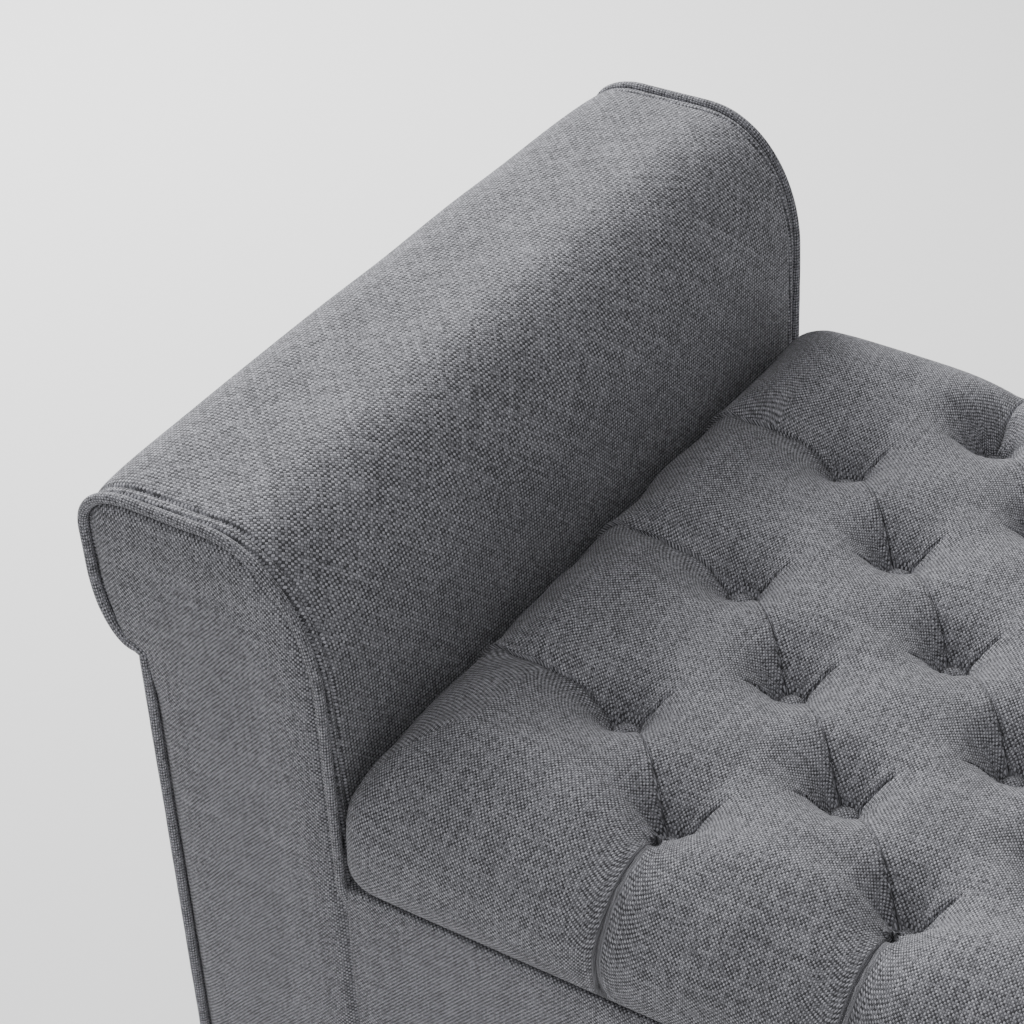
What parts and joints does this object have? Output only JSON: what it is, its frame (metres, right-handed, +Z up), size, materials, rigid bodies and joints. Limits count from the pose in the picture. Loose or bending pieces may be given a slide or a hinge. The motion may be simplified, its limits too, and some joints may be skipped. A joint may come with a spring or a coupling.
{
  "type": "storage bench",
  "caption": "Upholstered storage bench with piped rolled arms and a button-tufted lid that hinges up at the back on folding stays.",
  "frame": {"origin": "on the floor under the middle of the bench", "axes": "+Z up, -Y to the front where the lid opens, +X to the right seen from the front, along the bench"},
  "size_m": [1.2602, 0.5125, 0.5656],
  "materials": {
    "fabric": "matte, heathered plain weave",
    "cord_fabric": "matte, bias-cut plain weave over cord",
    "button_fabric": "matte, weave stretched over a button",
    "lining": "matte, non-woven",
    "plywood": "matte, sanded plywood",
    "hardboard": "matte, thin bent hardboard",
    "foot_wood": "satin, dark stain",
    "steel": "satin, zinc plated"
  },
  "bodies": {
    "root": {"front_panel": "plywood", "back_panel": "plywood", "left_end_panel": "plywood", "right_end_panel": "plywood", "base_board": "plywood", "corner_block_front_left": "plywood", "foot_front_left": "foot_wood", "corner_block_front_right": "plywood", "foot_front_right": "foot_wood", "corner_block_back_left": "plywood", "foot_back_left": "foot_wood", "corner_block_back_right": "plywood", "foot_back_right": "foot_wood", "dust_cover": "lining", "front_cover": "fabric", "back_cover": "fabric", "left_arm_front_board": "plywood", "left_arm_back_board": "plywood", "left_arm_outer_board": "plywood", "left_arm_roll_form": "hardboard", "left_arm_cover": "fabric", "left_arm_outer_cover": "fabric", "left_arm_front_facing": "fabric", "left_arm_back_facing": "fabric", "left_arm_front_piping": "cord_fabric", "left_arm_back_piping": "cord_fabric", "left_stay_box_bracket": "steel", "right_arm_front_board": "plywood", "right_arm_back_board": "plywood", "right_arm_outer_board": "plywood", "right_arm_roll_form": "hardboard", "right_arm_cover": "fabric", "right_arm_outer_cover": "fabric", "right_arm_front_facing": "fabric", "right_arm_back_facing": "fabric", "right_arm_front_piping": "cord_fabric", "right_arm_back_piping": "cord_fabric", "right_stay_box_bracket": "steel", "hinge_1_box_leaf": "steel", "hinge_2_box_leaf": "steel"},
    "lid": {"left_stay_lid_bracket": "steel", "right_stay_lid_bracket": "steel", "hinge_1_lid_leaf": "steel", "hinge_2_lid_leaf": "steel", "lid_board": "plywood", "lid_cushion": "fabric", "lid_lining": "lining", "button_row_1": "button_fabric", "button_row_2": "button_fabric", "button_row_3": "button_fabric", "button_row_4": "button_fabric", "button_row_5": "button_fabric", "button_row_6": "button_fabric", "button_row_7": "button_fabric"},
    "left_stay_lower": {"left_stay_lower_link": "steel"},
    "left_stay_upper": {"left_stay_upper_link": "steel"},
    "right_stay_lower": {"right_stay_lower_link": "steel"},
    "right_stay_upper": {"right_stay_upper_link": "steel"}
  },
  "joints": [
    {"name": "lid_hinge", "type": "hinge", "parent": "root", "child": "lid", "pos_m": [0, 0.2505, 0.3501], "axis": [-1, 0, 0], "range_deg": [0, 95]},
    {"name": "left_stay_box_pivot", "type": "hinge", "parent": "root", "child": "left_stay_lower", "pos_m": [-0.461, 0.2072, 0.19607], "axis": [-1, 0, 0], "range_deg": [0, 95]},
    {"name": "left_stay_elbow", "type": "hinge", "parent": "left_stay_lower", "child": "left_stay_upper", "pos_m": [-0.4585, 0.04765, 0.18407], "axis": [-1, 0, 0], "range_deg": [-95, 0]},
    {"name": "right_stay_box_pivot", "type": "hinge", "parent": "root", "child": "right_stay_lower", "pos_m": [0.461, 0.2072, 0.19607], "axis": [-1, 0, 0], "range_deg": [0, 95]},
    {"name": "right_stay_elbow", "type": "hinge", "parent": "right_stay_lower", "child": "right_stay_upper", "pos_m": [0.4585, 0.04765, 0.18407], "axis": [-1, 0, 0], "range_deg": [-95, 0]}
  ],
  "couplings": [
    {"joint": "left_stay_box_pivot", "follows": "lid_hinge", "ratio": 1},
    {"joint": "left_stay_elbow", "follows": "lid_hinge", "ratio": -1},
    {"joint": "right_stay_box_pivot", "follows": "lid_hinge", "ratio": 1},
    {"joint": "right_stay_elbow", "follows": "lid_hinge", "ratio": -1}
  ]
}
